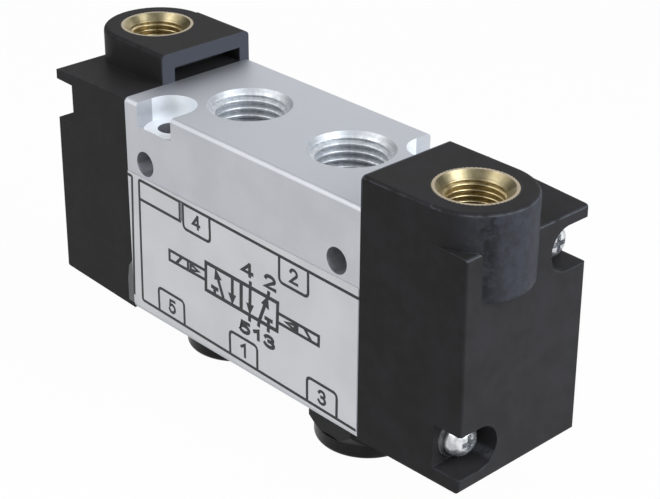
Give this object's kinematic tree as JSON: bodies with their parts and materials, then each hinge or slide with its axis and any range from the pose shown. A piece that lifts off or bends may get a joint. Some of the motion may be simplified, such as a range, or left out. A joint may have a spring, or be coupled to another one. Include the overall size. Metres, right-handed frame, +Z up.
{
  "type": "double pilot valve",
  "caption": "Pneumatic spool valve with an aluminium ported body, shifted by air pilots in the moulded caps at its two ends.",
  "frame": {"origin": "centre of port 1's mouth in the bottom face of the body", "axes": "+X along the spool towards the cap whose pilot boss is at the front, -Y out of the face that carries the label, +Z up out of ports 2 and 4"},
  "size_m": [0.101, 0.0271, 0.0546],
  "materials": {
    "body_aluminium": "satin, fine machining lines",
    "label_film": "printed silver film",
    "cap_plastic": "fine moulded texture",
    "insert_brass": "turned",
    "zinc_steel": "bright zinc plated",
    "seal_rubber": "satin",
    "spool_aluminium": "turned, hard anodised",
    "piston_acetal": "satin",
    "silencer_plastic": "semi-gloss moulded",
    "silencer_felt": "porous"
  },
  "bodies": {
    "valve": {"valve_body": "body_aluminium", "label_film": "label_film", "pilot_cap_left": "cap_plastic", "pilot_cap_right": "cap_plastic", "pilot_insert_left": "insert_brass", "pilot_insert_right": "insert_brass", "cap_screws_left": "zinc_steel", "cap_screws_right": "zinc_steel", "cap_washers_left": "zinc_steel", "cap_washers_right": "zinc_steel", "cap_ring_left": "seal_rubber", "cap_ring_right": "seal_rubber", "silencer_body_3": "silencer_plastic", "silencer_body_5": "silencer_plastic", "silencer_element_3": "silencer_felt", "silencer_element_5": "silencer_felt", "silencer_cover_3": "silencer_plastic", "silencer_cover_5": "silencer_plastic"},
    "spool_set": {"spool": "spool_aluminium", "spool_seals": "seal_rubber"},
    "pilot_piston_left": {"piston_left": "piston_acetal", "piston_seal_left": "seal_rubber"},
    "pilot_piston_right": {"piston_right": "piston_acetal", "piston_seal_right": "seal_rubber"}
  },
  "joints": [
    {"name": "spool_slide", "type": "slide", "parent": "valve", "child": "spool_set", "axis": [1, 0, 0], "range_m": [0, 0.0041]},
    {"name": "piston_left_slide", "type": "slide", "parent": "valve", "child": "pilot_piston_left", "axis": [1, 0, 0], "range_m": [0, 0.0041]},
    {"name": "piston_right_slide", "type": "slide", "parent": "valve", "child": "pilot_piston_right", "axis": [1, 0, 0], "range_m": [0, 0.0041]}
  ],
  "couplings": [
    {"joint": "piston_left_slide", "follows": "spool_slide", "ratio": 1},
    {"joint": "piston_right_slide", "follows": "spool_slide", "ratio": 1}
  ]
}
